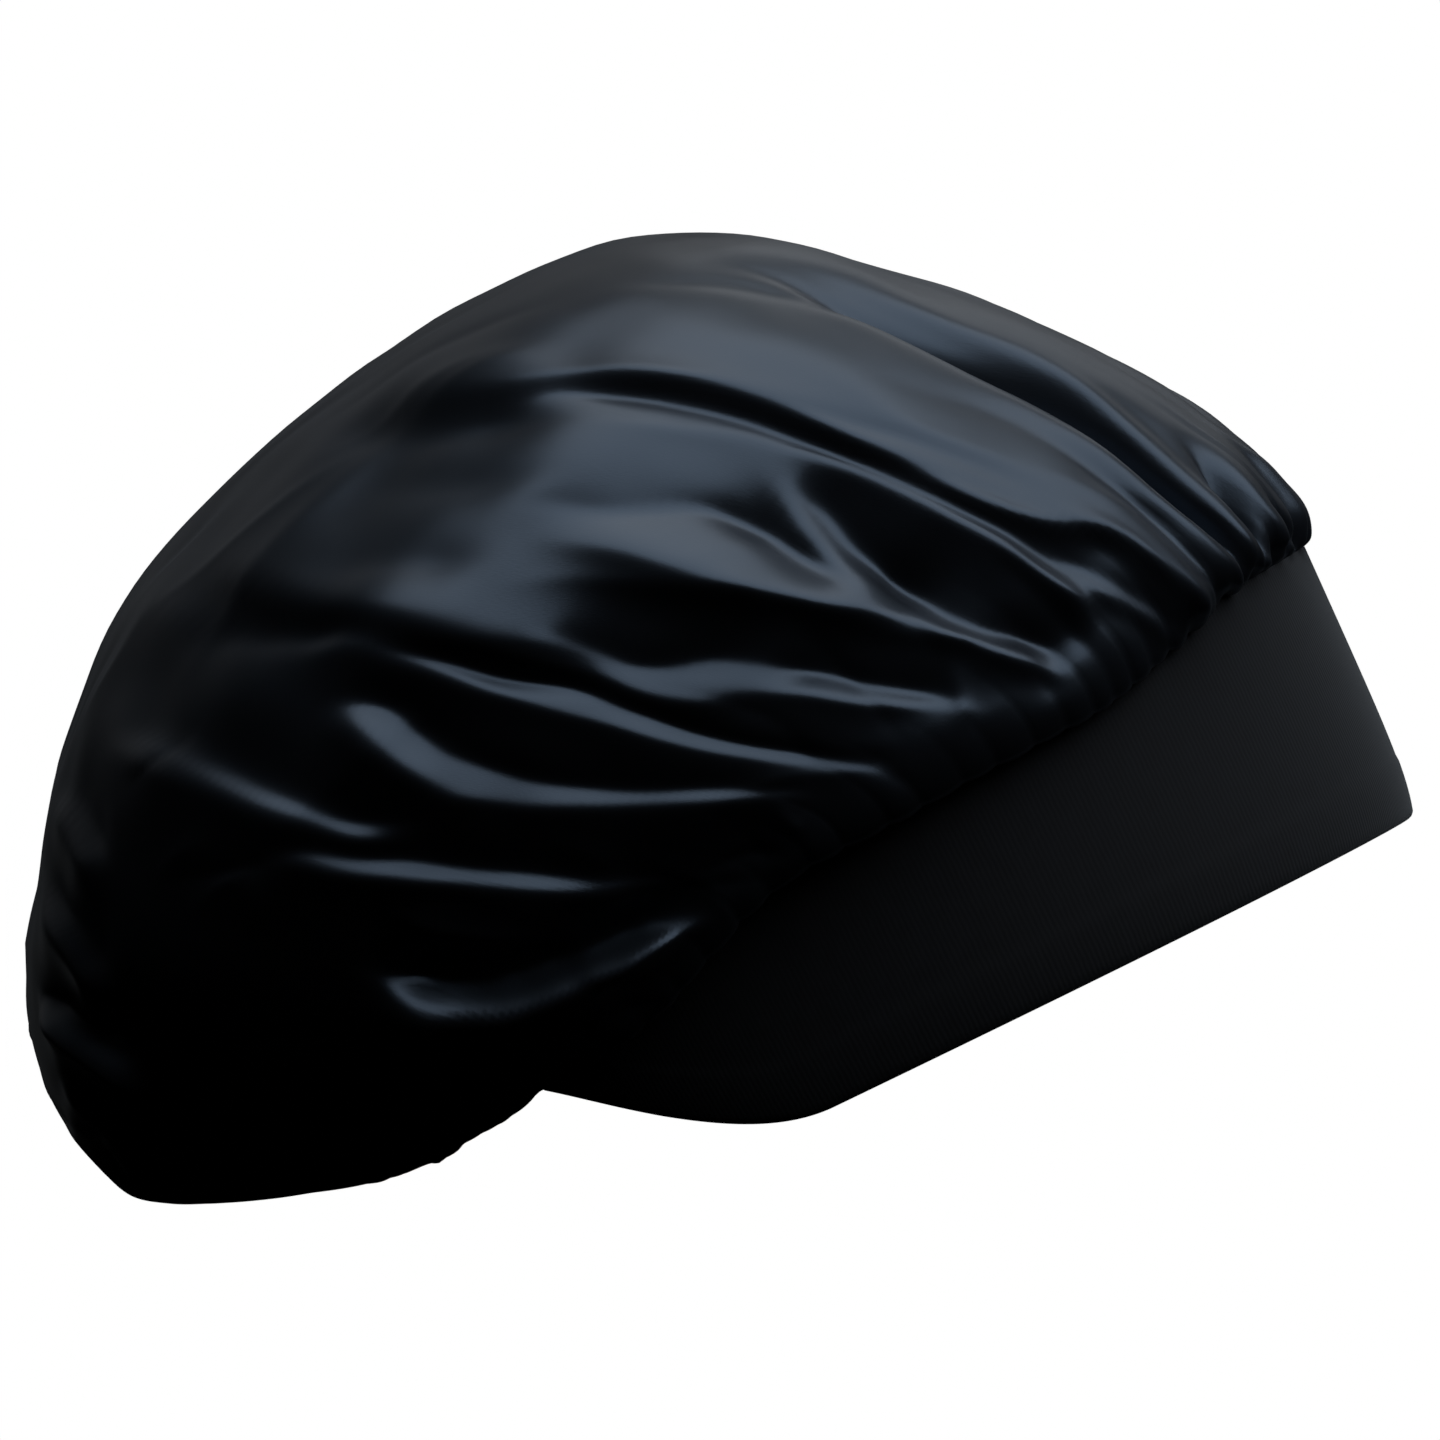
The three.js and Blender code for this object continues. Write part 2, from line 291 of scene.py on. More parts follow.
def bagPoint(angle, share):
    # the slices bent to meet the band, standing out over it at the sides, with a lobe hanging behind each ear
    turn = np.abs(angle)
    point = slicePoint(angle, share)
    atSeam = 1 - smoothStep(share, 0, crown["seamReach"])
    point += (seamPoint(angle) - slicePoint(angle, np.zeros_like(share))) * atSeam[..., None]
    outward = rimPoint(angle, 0.0, 1.0) - rimPoint(angle, 0.0, 0.0)
    overhang = crown["overhang"] * smoothStep(turn, crown["overhangStart"], crown["overhangFull"])
    point += outward * (overhang * swell(share, crown["overhangShare"]))[..., None]
    sag = smoothStep(turn, crown["sagStart"], crown["sagFull"])
    sag -= smoothStep(turn, crown["sagStop"], crown["sagEnd"])
    square = np.array([0, np.sin(rim["slope"]), np.cos(rim["slope"])])
    point -= square * (crown["sag"] * sag * swell(share, crown["sagShare"]))[..., None]
    besideLobe = (turn - crown["lobeAngle"]) / crown["lobeSpread"]
    point[..., 2] -= crown["lobe"] * np.exp(-besideLobe ** 2) * swell(share, crown["lobeShare"])
    return point


def unit(vectors):
    # each vector over its length, and no division by nothing
    return vectors / np.maximum(np.linalg.norm(vectors, axis=-1, keepdims=True), 1e-9)


def gridFrame(points):
    # unit vectors on a grid that closes round its columns: outward, and down the side
    around = np.roll(points, -1, axis=1) - np.roll(points, 1, axis=1)
    back = np.gradient(points, axis=0)
    return unit(np.cross(around, back)), unit(around)


# folds of the wearer's right side, each a line on the bag: points are a share of the way to the back
# and degrees down from the top, widths are how far it spreads above and below the line,
# a negative height is a valley, round softens the line itself,
# and fades are the parts of its length over which it grows and dies
foldColumns = ("points", "above", "below", "height", "round", "fadeIn", "fadeOut")
folds = [dict(zip(foldColumns, row)) for row in (
    # over the forehead
    ([(0.00, 12), (0.03, 14.5), (0.09, 18), (0.12, 19)], 2.2, 1.4, -2.6, 0.7, 0.0, 0.6),
    ([(0.00, 22.5), (0.05, 25.5), (0.10, 25.5), (0.14, 23.5), (0.19, 20)], 3.4, 1.4, -11, 0.7, 0.6, 0.6),
    ([(0.03, 19.5), (0.07, 21.5), (0.10, 21.8), (0.14, 20), (0.18, 17.5)], 6.0, 2.2, 1.8, 1.0, 0.1, 0.5),
    ([(0.08, 26.5), (0.15, 25.5), (0.19, 24), (0.23, 22.5), (0.28, 20)], 3.0, 2.5, -1.2, 1.0, 0.3, 0.5),
    ([(0.24, 25), (0.32, 22), (0.42, 17)], 5.0, 4.0, -1.8, 1.5, 0.4, 0.6),
    ([(0.00, 26), (0.04, 28.5), (0.11, 29.5), (0.16, 29), (0.21, 26.8), (0.25, 24.4), (0.30, 21.4),
      (0.38, 18)], 8.0, 2.6, 3.4, 1.0, 0.0, 0.35),
    ([(0.00, 28.5), (0.04, 31), (0.11, 32.2), (0.16, 31.7), (0.21, 30), (0.25, 28.7), (0.30, 26.8),
      (0.36, 23.6), (0.42, 20.5)], 4.4, 2.2, -11.5, 0.7, 0.4, 0.36),
    ([(0.00, 32), (0.04, 34), (0.10, 35.6), (0.16, 35.5), (0.20, 35), (0.25, 33.8), (0.30, 32)],
     2.4, 2.4, 2.0, 1.4, 0.0, 0.5),
    ([(0.00, 35.5), (0.05, 38), (0.10, 39), (0.15, 38.8), (0.20, 38.6), (0.25, 38)],
     1.4, 1.5, -2.6, 0.6, 0.0, 0.5),
    # the great roll, its lip and the valley under it
    ([(0.00, 38), (0.12, 42), (0.25, 43.5), (0.38, 39), (0.56, 31)], 13, 12, 2.6, 8.0, 0.15, 0.6),
    ([(0.02, 41), (0.08, 43.3), (0.12, 44.3), (0.165, 45.7), (0.195, 49), (0.23, 50.8), (0.26, 50.8),
      (0.29, 49.8), (0.32, 48.7), (0.345, 47.6), (0.375, 47.1), (0.41, 46.6), (0.447, 45.2), (0.47, 44.4),
      (0.51, 42.5)], 8.0, 1.7, 3.4, 0.8, 0.1, 0.2),
    ([(0.02, 44.4), (0.08, 47.2), (0.13, 50), (0.17, 51.4), (0.21, 52.4)], 3.6, 8.0, -2.2, 0.8, 0.05, 0.3),
    ([(0.09, 53), (0.14, 53), (0.17, 52.8), (0.215, 52.6), (0.25, 52.4), (0.285, 51.4), (0.31, 50.4),
      (0.335, 49.9), (0.37, 49.4), (0.40, 49.2), (0.423, 48.4), (0.447, 47.5), (0.47, 46.6),
      (0.51, 44.6)], 1.7, 2.6, -1.7, 0.7, 0.25, 0.2),
    # the thin rolls below it
    ([(0.02, 46), (0.07, 48.3), (0.12, 51), (0.165, 52.2)], 12, 1.6, 2.2, 1.0, 0.05, 0.35),
    ([(0.11, 53.9), (0.135, 54.1), (0.165, 54.3), (0.21, 54.1), (0.25, 53.8), (0.28, 52.9),
      (0.31, 51.9), (0.335, 51.8), (0.36, 52)], 2.3, 4.0, 2.7, 0.8, 0.15, 0.25),
    ([(0.05, 54.2), (0.11, 54.6), (0.16, 54.8), (0.22, 54.6), (0.30, 53)], 12, 9.0, 3.6, 1.5, 0.45, 0.4),
    # the pocket and the bulge over the ear
    ([(0.06, 63.6), (0.075, 63), (0.09, 62), (0.115, 60.7), (0.14, 62), (0.16, 63.6), (0.19, 64.2),
      (0.22, 63.4), (0.29, 59.5)], 8.5, 6.0, -5.8, 1.2, 0.25, 0.3),
    ([(0.20, 64), (0.235, 63), (0.27, 60.8), (0.30, 57.5), (0.328, 54)], 7.0, 3.0, -4.2, 1.0, 0.4, 0.2),
    ([(0.24, 65.8), (0.265, 64.5), (0.295, 61.8), (0.32, 58), (0.345, 53.5)], 2.0, 2.5, 1.9, 0.9, 0.3, 0.3),
    ([(0.25, 66.3), (0.275, 64.6), (0.311, 62.6), (0.335, 61.6), (0.362, 61)], 11, 3.0, -3.4, 1.2, 0.3, 0.4),
    ([(0.25, 66.5), (0.27, 65.8), (0.295, 64.7), (0.33, 62.3), (0.36, 62), (0.385, 64), (0.41, 65),
      (0.435, 64), (0.48, 62)], 7.0, 5.0, -3.4, 1.4, 0.2, 0.6),
    ([(0.23, 68), (0.33, 70), (0.45, 68)], 10, 5.0, 4.6, 3.0, 0.4, 0.4),
    ([(0.29, 79.5), (0.34, 80.5), (0.40, 80.8), (0.46, 79.8), (0.52, 74.8), (0.60, 61)],
     13, 4.0, 3.0, 2.6, 0.5, 0.3),
    ([(0.07, 61.6), (0.10, 62.6), (0.135, 64.4), (0.18, 65.7), (0.22, 66.8), (0.25, 68.2), (0.28, 69.4),
      (0.31, 70.4), (0.34, 71.8), (0.40, 73.4), (0.45, 74.5)], 6.5, 3.2, 3.4, 1.2, 0.1, 0.45),
    ([(0.10, 64), (0.135, 64.8), (0.18, 65.7), (0.22, 66.8)], 9.0, 6.0, 1.6, 1.2, 0.4, 0.4),
    ([(0.09, 69.8), (0.11, 71), (0.13, 72.2), (0.17, 74.2), (0.21, 75.5), (0.25, 76.3), (0.285, 77)],
     9.0, 6.0, -4.4, 1.0, 0.35, 0.25),
    ([(0.10, 71.4), (0.13, 73.4), (0.155, 75.5), (0.195, 77.7), (0.235, 79), (0.26, 80.3), (0.29, 82)],
     4.4, 4.0, 2.2, 1.0, 0.35, 0.3),
    ([(0.255, 77), (0.30, 78.3), (0.315, 80), (0.335, 81), (0.36, 80.5), (0.42, 79)],
     8.0, 6.0, -3.4, 1.2, 0.3, 0.4),
    ([(0.255, 81), (0.29, 83.4), (0.32, 84.2), (0.34, 83.8), (0.38, 83)], 4.0, 4.5, 2.0, 1.2, 0.3, 0.4),
    # the long crease across the side
    ([(0.32, 83.5), (0.355, 83.2), (0.395, 83.1), (0.435, 82), (0.475, 80.6), (0.497, 79.3), (0.535, 75),
      (0.58, 66.5)], 8.0, 1.8, 1.5, 0.8, 0.3, 0.3),
    ([(0.08, 80.8), (0.11, 82.3), (0.14, 84.2), (0.19, 85.6), (0.25, 86.5), (0.31, 86), (0.36, 85),
      (0.415, 85), (0.455, 82.9), (0.495, 80.1), (0.53, 76.2), (0.57, 70.5), (0.60, 65)],
     2.6, 3.6, -2.6, 0.9, 0.2, 0.2),
    ([(0.08, 81.6), (0.113, 83.2), (0.18, 86.5), (0.225, 87.6), (0.265, 88.2), (0.335, 88.1), (0.37, 88),
      (0.407, 87.3), (0.447, 85.5), (0.49, 82.4), (0.525, 78.6), (0.57, 74), (0.62, 66)],
     3.0, 6.0, 1.8, 1.0, 0.2, 0.2),
    ([(0.50, 79), (0.536, 73.5), (0.581, 65.8), (0.625, 55.2), (0.67, 41)], 6.0, 3.5, 2.6, 1.0, 0.35, 0.25),
    ([(0.50, 79.5), (0.534, 76), (0.576, 71.2), (0.618, 65), (0.654, 57.7), (0.70, 44)],
     7.0, 4.0, -3.4, 1.4, 0.35, 0.35),
    ([(0.39, 87.6), (0.407, 87.3), (0.447, 85.5), (0.49, 82.6), (0.525, 78.6), (0.57, 73), (0.61, 65)],
     3.4, 5.0, 1.4, 1.0, 0.25, 0.5),
    # the hooks and bars below it
    ([(0.11, 88.5), (0.15, 89.6), (0.235, 92.4), (0.30, 95), (0.34, 95.7), (0.38, 95.4), (0.42, 94),
      (0.445, 92), (0.475, 88.6), (0.505, 86), (0.54, 82.5)], 5.0, 4.6, -2.9, 0.9, 0.25, 0.12),
    ([(0.11, 89.3), (0.15, 90.6), (0.23, 93.8), (0.285, 96.3), (0.32, 97.9), (0.365, 99), (0.405, 98.8),
      (0.445, 96.2), (0.48, 93), (0.505, 89.8), (0.54, 85.5)], 4.4, 7.0, 3.0, 1.2, 0.25, 0.12),
    ([(0.42, 94), (0.445, 92), (0.475, 88.6), (0.505, 86), (0.54, 82.5)], 4.0, 3.6, -1.3, 0.9, 0.3, 0.25),
    ([(0.41, 99), (0.445, 96.5), (0.48, 93), (0.505, 89.8), (0.54, 85.5)], 3.6, 5.0, 1.2, 1.2, 0.3, 0.25),
    ([(0.40, 102), (0.477, 101.6), (0.525, 97.8), (0.578, 91.7), (0.646, 81), (0.719, 64.6), (0.75, 55)],
     8.0, 2.4, -2.8, 0.9, 0.2, 0.2),
    ([(0.40, 105), (0.473, 103.6), (0.518, 100.2), (0.571, 94.5), (0.639, 84.6), (0.717, 68), (0.75, 59)],
     2.4, 6.0, 3.2, 1.0, 0.2, 0.2),
    ([(0.12, 102), (0.215, 104.2), (0.315, 106.1), (0.395, 106.8), (0.46, 105.9), (0.515, 103.6),
      (0.56, 101.5)], 7.0, 2.6, -3.0, 0.9, 0.45, 0.2),
    ([(0.12, 103.8), (0.205, 105.6), (0.31, 107.6), (0.39, 108.7), (0.455, 108), (0.51, 105.5),
      (0.56, 103.5)], 2.6, 7.0, 3.1, 1.0, 0.45, 0.2),
    # the lowest crescent, a valley over a proud crest
    ([(0.07, 104.4), (0.105, 107), (0.135, 109.1), (0.16, 111.1), (0.185, 113.4), (0.21, 115.9),
      (0.235, 118.2), (0.265, 120.2), (0.315, 121.2), (0.37, 120.4), (0.42, 118.4)],
     8.0, 2.8, -6.0, 1.1, 0.3, 0.3),
    ([(0.07, 106), (0.105, 108.6), (0.135, 110.8), (0.16, 112.9), (0.185, 115.2), (0.21, 117.8),
      (0.235, 120.2), (0.26, 122), (0.305, 123.4), (0.35, 122.8), (0.42, 120.5)],
     3.2, 13, 9.0, 1.1, 0.26, 0.35),
    ([(0.24, 113), (0.30, 114), (0.36, 114), (0.42, 112)], 4.0, 3.0, 2.4, 1.0, 0.4, 0.4),
    # shallow dents high on the side
    ([(0.43, 60), (0.50, 58), (0.56, 50), (0.62, 36)], 9.0, 7.0, -2.6, 3.0, 0.35, 0.35),
    ([(0.46, 47), (0.50, 43.5), (0.54, 38), (0.59, 22)], 9.0, 3.0, 2.0, 1.2, 0.35, 0.3),
    ([(0.44, 52), (0.47, 50.8), (0.50, 48.8), (0.535, 44.8), (0.57, 37), (0.62, 23)],
     6.0, 10, -4.2, 1.8, 0.4, 0.35),
    ([(0.45, 72), (0.495, 70), (0.535, 66.3), (0.57, 61.5), (0.61, 55)], 7.0, 5.0, -2.0, 2.0, 0.4, 0.4),
    # creases round the back, most of them a notch over a ledge
    ([(0.60, 72), (0.64, 61), (0.68, 49), (0.74, 22)], 3.0, 4.0, 1.6, 1.2, 0.3, 0.4),
    ([(0.72, 93), (0.741, 87), (0.771, 76.5), (0.813, 54), (0.85, 30)], 7.0, 4.0, -3.2, 1.4, 0.3, 0.3),
    ([(0.72, 97), (0.741, 91), (0.771, 81.5), (0.813, 59), (0.85, 35)], 4.0, 6.0, 3.4, 1.4, 0.3, 0.3),
    ([(0.68, 119), (0.703, 115), (0.748, 107), (0.78, 99), (0.825, 84), (0.87, 60)],
     7.0, 4.0, -3.6, 1.4, 0.3, 0.3),
    ([(0.68, 122), (0.703, 119), (0.748, 111), (0.78, 103.5), (0.825, 88.5), (0.87, 65)],
     4.0, 6.0, 4.2, 1.4, 0.3, 0.3),
    ([(0.56, 136.5), (0.60, 134.5), (0.646, 131.5), (0.717, 127), (0.776, 122), (0.86, 112)],
     7.0, 3.0, -4.4, 1.2, 0.3, 0.3),
    ([(0.56, 139.5), (0.60, 138), (0.646, 135.3), (0.717, 131.3), (0.776, 127), (0.86, 117)],
     3.2, 5.0, 6.0, 1.2, 0.3, 0.3),
    ([(0.62, 148), (0.66, 147), (0.708, 146), (0.78, 143)], 6.0, 3.5, -1.8, 1.4, 0.35, 0.35),
    ([(0.62, 151), (0.66, 150.5), (0.708, 149.5), (0.78, 148)], 3.6, 6.0, 2.2, 1.4, 0.35, 0.35),
    ([(0.24, 160), (0.30, 157), (0.40, 152), (0.477, 150.5), (0.60, 149.5), (0.68, 148)],
     6.0, 3.5, -1.4, 1.6, 0.3, 0.3),
    ([(0.24, 163.5), (0.30, 160.5), (0.40, 155.5), (0.477, 154), (0.60, 153), (0.68, 152)],
     4.0, 6.0, 1.6, 1.6, 0.3, 0.3),
)]


def foldLine(points, share):
    # cubic through the fold's points: the angle at each share and how fast it turns
    at, angles = np.array(points, dtype=float).T
    turns = np.gradient(angles, at)
    k = np.clip(np.searchsorted(at, share) - 1, 0, len(at) - 2)
    span, start, end = at[k + 1] - at[k], angles[k], angles[k + 1]
    t = (share - at[k]) / span
    angle = start + t * t * (3 - 2 * t) * (end - start)
    angle += span * t * (1 - t) * ((1 - t) * turns[k] - t * turns[k + 1])
    turn = 6 * t * (1 - t) * (end - start) / span
    turn += (1 - t) * (1 - 3 * t) * turns[k] + t * (3 * t - 2) * turns[k + 1]
    return angle, turn


def foldHeight(fold, angle, share):
    # dies away exponentially on each side of a line, with a rounded top, grown and faded along its length
    first, last = fold["points"][0][0], fold["points"][-1][0]
    inside = (share > first) & (share < last)
    at = share[inside]
    along = (at - first) / (last - first)
    line, turn = foldLine(fold["points"], at)
    cut = sliceAt(at)
    tall = np.hypot(cut["topForward"] - cut["lowForward"], cut["topUp"] - cut["lowUp"])
    radius = (cut["halfWidth"] + tall / 2) / 2
    across = np.radians(angle[inside] - line) * radius / np.hypot(1, np.radians(turn) * radius / bagDepth)
    narrow = crown["seamNarrow"] + (1 - crown["seamNarrow"]) * smoothStep(at, 0, crown["narrowShare"])
    width = np.where(across < 0, fold["above"], fold["below"]) * narrow
    profile = np.exp((fold["round"] - np.hypot(across, fold["round"])) / width)
    grow = smoothStep(along, 0, fold["fadeIn"]) if fold["fadeIn"] else 1.0
    height = np.zeros(angle.shape)
    height[inside] = fold["height"] * profile * grow * (1 - smoothStep(along, 1 - fold["fadeOut"], 1))
    return height


# small creases strewn over the cloth: streaks that run back from the seam and slight buckles further on
streaks = {
    "count": 130,
    "start": (0.0, 0.22),
    "reach": (0.08, 0.3),
    "drift": 7.0,  # degrees that the line strays from running straight back
    "width": (1.4, 3.2),
    "height": (0.3, 1.0),
}
buckles = {
    "count": 90,
    "start": (0.2, 0.75),
    "reach": (0.06, 0.16),
    "drift": 16.0,
    "width": (2.5, 6.0),
    "height": (0.3, 1.0),
}
strewn = {
    "lastAngle": 170,     # degrees from the top on either side
    "bend": 0.25,         # of the line's middle, as a share of the drift
    "lower": (0.5, 1.0),  # the width below the line, as a share of the one above
    "round": 0.8,
    "fadeIn": 0.3,
    "fadeOut": 0.5,
}


def strewnFolds():
    # short folds at random places, on either side of the head, each a bent line of three points
    made = []
    for kind in (streaks, buckles):
        for _ in range(kind["count"]):
            start, length = chance.uniform(*kind["start"]), chance.uniform(*kind["reach"])
            angle = chance.uniform(-strewn["lastAngle"], strewn["lastAngle"])
            drift = chance.normal(0, kind["drift"])
            bend = chance.normal(0, kind["drift"] * strewn["bend"])
            width = chance.uniform(*kind["width"])
            height = chance.uniform(*kind["height"]) * chance.choice([-1, 1])
            middle = (start + length / 2, angle + drift / 2 + bend)
            made.append({
                "points": [(start, angle), middle, (start + length, angle + drift)],
                "above": width,
                "below": width * chance.uniform(*strewn["lower"]),
                "height": height,
                "round": strewn["round"],
                "fadeIn": strewn["fadeIn"],
                "fadeOut": strewn["fadeOut"],
            })
    return made


# soft unevenness of the cloth
unevenness = {
    "waves": [(75.0, 0.45), (38.0, 0.35), (16.0, 0.12)],  # length in millimetres, and height
    "directions": 7,  # for each length
    "gain": 2.6,      # how much higher their sum stands than one of them
}


def unevenHeight(points):
    # a sum of slow sine waves in random directions
    height = np.zeros(points.shape[:-1])
    for size, amount in unevenness["waves"]:
        for _ in range(unevenness["directions"]):
            direction = waveChance.normal(size=3)
            direction *= 2 * np.pi / (size * np.linalg.norm(direction))
            wave = np.sin(points @ direction + waveChance.uniform(0, 2 * np.pi))
            height += amount / unevenness["gain"] * wave
    return height


# gathers along the seam, and finer ones along the elastic hem at the nape
puffs = {
    "edges": np.array([  # where the seam's gathers meet, in degrees down from the top
        0, 6, 12, 17, 22.5, 26, 28.5, 32, 35.5, 38, 40.5, 43.5, 47.5, 50.5, 54, 57, 60, 64, 68, 73, 77, 82,
        86, 91, 95, 100, 104, 109, 113, 118, 123, 128, 133, 138,
    ]),
    "wander": 0.9,            # how far the left side's stray from the right side's, in degrees
    "height": 3.2,
    "heights": (0.75, 1.25),  # each puff's own share of that
    "calm": 0.3,              # how high they are on the sides, as a share
    "calmStart": np.radians(42),
    "calmFull": np.radians(58),
    "reach": 0.075,
    "reaches": (0.6, 1.5),    # each puff's own share of that
    "onset": 0.010,           # they grow out of the seam over about this share
    "bulge": 0.65,            # power of the sine across a puff: the less, the rounder
    "fall": 1.4,              # power in the fall along it
    "hemAngle": np.radians(3.4),
    "hemWidths": (0.6, 1.5),
    "hemHeight": 0.6,
}


def gatherHeight(angle, share):
    # rounded puffs between sharp creases, each with its own height and reach, wider ones higher and longer
    end = band["endAngle"]
    rightEdges = puffs["edges"]
    strays = (rightEdges > rightEdges[0]) & (rightEdges < rightEdges[-1])
    leftEdges = rightEdges + chance.normal(0, puffs["wander"], len(rightEdges)) * strays
    seamEdges = np.radians(np.concatenate([-rightEdges[:0:-1], leftEdges]))
    hem = 2 * (np.pi - end)
    hemWidths = chance.uniform(*puffs["hemWidths"], int(round(hem / puffs["hemAngle"])))
    hemEdges = end + hem * np.cumsum(hemWidths) / hemWidths.sum()
    edges = np.concatenate([seamEdges, hemEdges])
    widths = np.diff(edges)
    width = widths / widths.mean()
    atHem = edges[:-1] >= end
    heights = np.sqrt(width) * chance.uniform(*puffs["heights"], len(width))
    calm = 1 - (1 - puffs["calm"]) * smoothStep(np.abs(edges[:-1]), puffs["calmStart"], puffs["calmFull"])
    heights *= np.where(atHem, puffs["hemHeight"], puffs["height"] * calm)
    reaches = width * chance.uniform(*puffs["reaches"], len(width)) * puffs["reach"]
    turned = np.where(angle < -end, angle + 2 * np.pi, angle)
    index = np.clip(np.searchsorted(edges, turned) - 1, 0, len(heights) - 1)
    place = np.clip((turned - edges[index]) / widths[index], 0, 1)
    puff = np.sin(np.pi * place) ** puffs["bulge"] - 0.5  # half of it out and half in
    onset = 1 - np.exp(-share / puffs["onset"])
    return heights[index] * puff * onset * np.exp(-(share / reaches[index]) ** puffs["fall"])


def softened(field, times):
    # averages each place with its neighbours, round the columns and along the rows
    for _ in range(times):
        field = (np.roll(field, 1, axis=1) + 2 * field + np.roll(field, -1, axis=1)) / 4
        rows = np.concatenate([field[:1], field, field[-1:]])
        field = (rows[:-2] + 2 * rows[1:-1] + rows[2:]) / 4
    return field


def lowest(field, reach):
    # the least value within so many places, round the columns and along the rows
    for _ in range(reach):
        field = np.minimum(field, np.minimum(np.roll(field, 1, axis=1), np.roll(field, -1, axis=1)))
        rows = np.concatenate([field[:1], field, field[-1:]])
        field = np.minimum(field, np.minimum(rows[:-2], rows[2:]))
    return field


def wallAt(share):
    # thin at the sewn edge and full a little way in
    grown = smoothStep(share, 0, crown["wallShare"])
    return crown["edgeWall"] + (crown["wall"] - crown["edgeWall"]) * grown


def creasedBag(angle, share):
    # the bag moved along its normals by folds, creases and gathers, leaning down a little at the sides
    smooth = bagPoint(angle, share)
    outward, down = gridFrame(smooth)
    right = angle < 0
    turn = np.degrees(np.abs(angle))
    leftAngle = turn + crown["leftTurn"] * np.sin(np.radians(3 * turn) + 5 * share)
    leftShare = share * (1 + crown["leftShift"] * np.cos(np.radians(4 * turn)))
    foldAngle, foldShare = np.where(right, turn, leftAngle), np.where(right, share, leftShare)
    rolls = sum(foldHeight(fold, foldAngle, foldShare) for fold in folds)
    rolls += sum(foldHeight(fold, np.degrees(angle), share) for fold in strewnFolds())
    rolls += unevenHeight(smooth)
    rolls *= (1 - np.exp(-share / crown["pinch"])) * (1 - smoothStep(share, *crown["backFade"]))
    rolls = softened(rolls, crown["foldSoftness"])
    lean = crown["droop"] * softened(rolls, crown["droopSoftness"])
    lean *= np.sin(angle) * (1 - smoothStep(turn, *crown["droopFade"]))
    height = rolls + gatherHeight(angle, share)
    hollow = softened(lowest(height, crown["insideSoftness"]), crown["insideSoftness"]) - wallAt(share)
    outside = smooth + outward * height[..., None] + down * lean[..., None]
    return outside, smooth + outward * hollow[..., None]


def makeCrown():
    # rings of the outside and the inside, joined round the open edge and closed at the back
    columns, rows = crown["columns"], crown["rows"]
    even = np.linspace(-np.pi, np.pi, columns, endpoint=False)
    angles = even + crown["columnCrowding"] * np.sin(2 * even) / 2
    shares = (np.arange(rows) / rows) ** crown["rowCrowding"]
    angle, share = np.meshgrid(angles, shares)
    outer, inside = creasedBag(angle, share)
    innerRows = np.unique(np.append(np.arange(0, rows, crown["innerStep"]), rows - 1))
    inner = inside[innerRows][:, ::2]
    pole = slicePoint(np.zeros(1), np.ones(1))
    points = np.vstack([outer.reshape(-1, 3), inner.reshape(-1, 3), pole, pole - [0, crown["wall"], 0]])

    outerRing = np.arange(rows * columns).reshape(rows, columns)
    innerRing = rows * columns + np.arange(inner.shape[0] * inner.shape[1]).reshape(inner.shape[:2])
    poleOut, poleIn = len(points) - 2, len(points) - 1
    quads = [quadStrip(outerRing[k], outerRing[k + 1]) for k in range(rows - 1)]
    quads += [quadStrip(innerRing[k + 1], innerRing[k]) for k in range(len(innerRing) - 1)]
    edgeOut, edgeIn = outerRing[0], innerRing[0]
    nextOut, nextIn = np.roll(edgeOut, -2)[::2], np.roll(edgeIn, -1)
    lastOut, lastIn = outerRing[-1], innerRing[-1]
    fans = np.concatenate([
        np.stack([edgeIn, edgeOut[1::2], edgeOut[::2]], axis=-1),  # two outer columns to each inner one
        np.stack([edgeIn, nextIn, edgeOut[1::2]], axis=-1),
        np.stack([nextIn, nextOut, edgeOut[1::2]], axis=-1),
        np.stack([lastOut, np.roll(lastOut, -1), np.full(len(lastOut), poleOut)], axis=-1),
        np.stack([np.roll(lastIn, -1), lastIn, np.full(len(lastIn), poleIn)], axis=-1),
    ])
    flat = np.stack([angle * crown["uvRadius"], share * bagDepth], axis=-1)
    innerFlat = flat[innerRows][:, ::2]
    uv = np.vstack([flat.reshape(-1, 2), innerFlat.reshape(-1, 2), [[0, bagDepth], [0, bagDepth]]])
    return storeMesh("crown_satin", points, np.concatenate(quads), fans, uv)


def setInputs(node, values):
    # each named socket takes its value
    for name, value in values.items():
        node.inputs[name].default_value = value


def newMaterial(name):
    # a material with its node tree at hand
    material = bpy.data.materials.new(name)
    material.use_nodes = True
    return material, material.node_tree.nodes, material.node_tree.links


def clothMaterial(name, finish):
    # a noise moves the tone between dark and light, and the roughness with it
    material, nodes, links = newMaterial(name)
    shader = nodes["Principled BSDF"]
    setInputs(shader, finish["shader"])
    place = nodes.new("ShaderNodeTexCoord")
    patches = nodes.new("ShaderNodeTexNoise")
    setInputs(patches, finish["patches"])
    links.new(place.outputs["Object"], patches.inputs["Vector"])
    tone = nodes.new("ShaderNodeValToRGB")
    tone.color_ramp.elements[0].color, tone.color_ramp.elements[1].color = finish["tones"]
    links.new(patches.outputs["Fac"], tone.inputs["Fac"])
    links.new(tone.outputs["Color"], shader.inputs["Base Color"])
    dull = nodes.new("ShaderNodeMapRange")
    setInputs(dull, finish["roughness"])
    links.new(patches.outputs["Fac"], dull.inputs["Value"])
    links.new(dull.outputs["Result"], shader.inputs["Roughness"])
    return material, nodes, links, place


